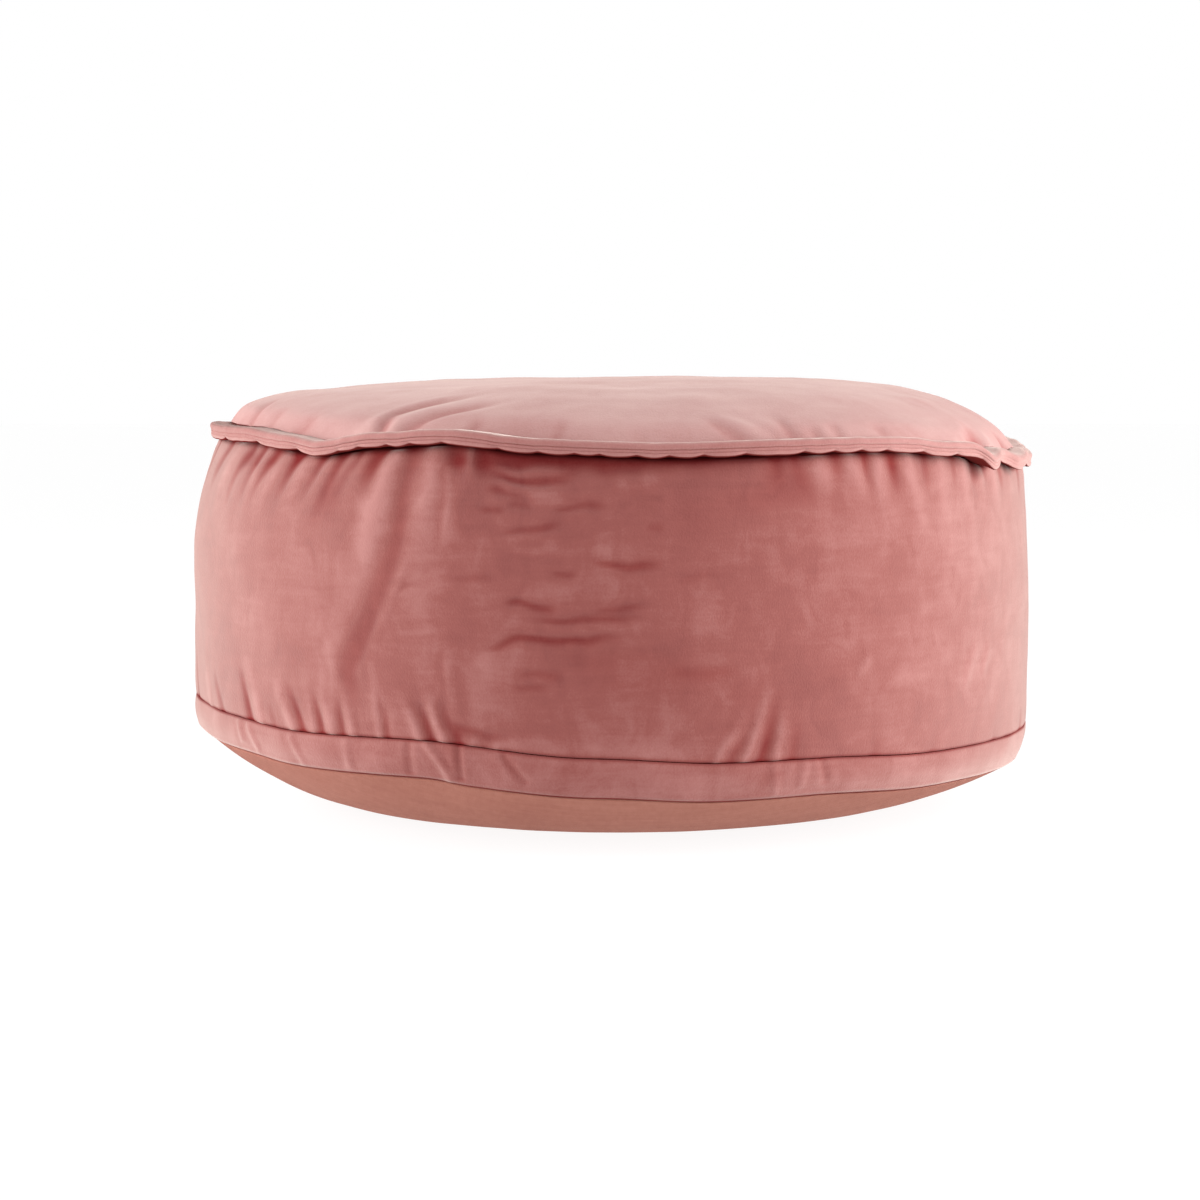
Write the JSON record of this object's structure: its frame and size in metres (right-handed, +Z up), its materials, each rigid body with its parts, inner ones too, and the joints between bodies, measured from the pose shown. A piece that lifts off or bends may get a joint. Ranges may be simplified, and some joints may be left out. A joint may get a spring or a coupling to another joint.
{
  "type": "velvet floor cushion",
  "caption": "Round velvet floor pouf with a crowned top, a folded flange at the top seam, gathered sides and a plain cloth underside.",
  "frame": {"origin": "under the middle of the pouf, on the surface it rests on", "axes": "+Z up, -Y towards the front, where the vertical join of the side lies left of the middle"},
  "size_m": [0.6056, 0.601, 0.3025],
  "materials": {
    "velvet_top": "short dense velvet pile, pale pink with a sheen",
    "velvet_flange": "folded velvet with a stitched groove",
    "velvet_side": "short dense velvet pile, dusty coral pink, brushed in patches",
    "base_cloth": "plain-woven peach cloth, matt"
  },
  "bodies": {
    "root": {"base_panel": "base_cloth", "lower_band": "velvet_side", "side_wall": "velvet_side", "top_flange": "velvet_flange", "top_panel": "velvet_top"}
  },
  "joints": []
}
